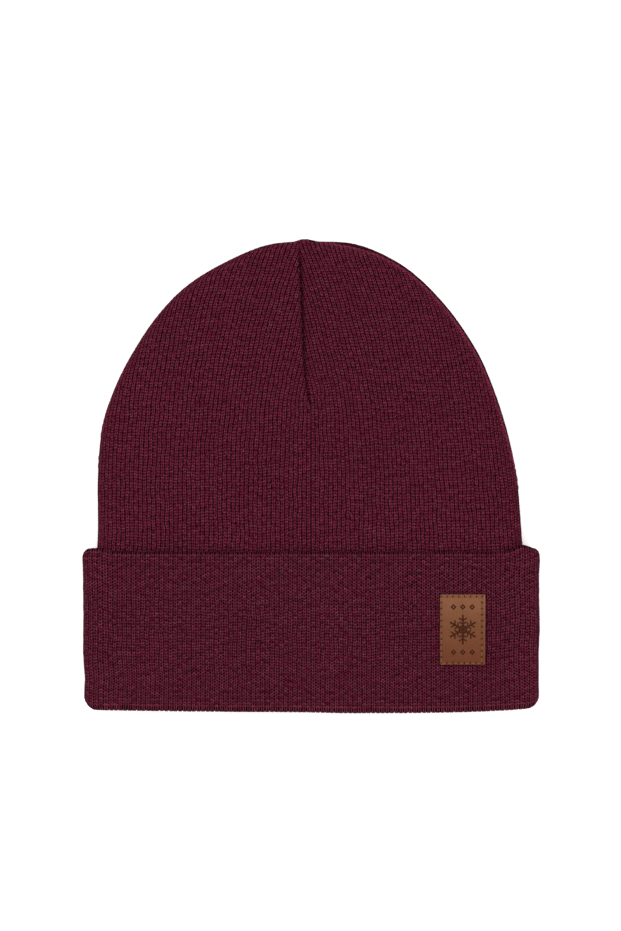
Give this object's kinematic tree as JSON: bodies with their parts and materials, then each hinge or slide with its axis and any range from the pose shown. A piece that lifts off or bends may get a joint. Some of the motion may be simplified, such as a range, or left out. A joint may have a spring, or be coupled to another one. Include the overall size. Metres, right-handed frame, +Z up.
{
  "type": "cuffed rib-knit beanie",
  "caption": "Soft rib-knit beanie lying flat on its back, hollow crown closed by darts, turned-up cuff with a small leather patch.",
  "frame": {"origin": "on the surface the hat lies on, under the middle of its bounding box", "axes": "+Y from the turned-up cuff to the tip of the crown, +Z up out of the front face, +X to the right as one looks at the front"},
  "size_m": [0.2152, 0.2228, 0.0219],
  "materials": {
    "crown_knit": "matt burgundy rib knit",
    "cuff_knit": "matt burgundy rib knit",
    "patch_leather": "smooth brown leather, lighter at the top"
  },
  "bodies": {
    "root": {"crown": "crown_knit", "cuff": "cuff_knit", "label_patch": "patch_leather"}
  },
  "joints": []
}
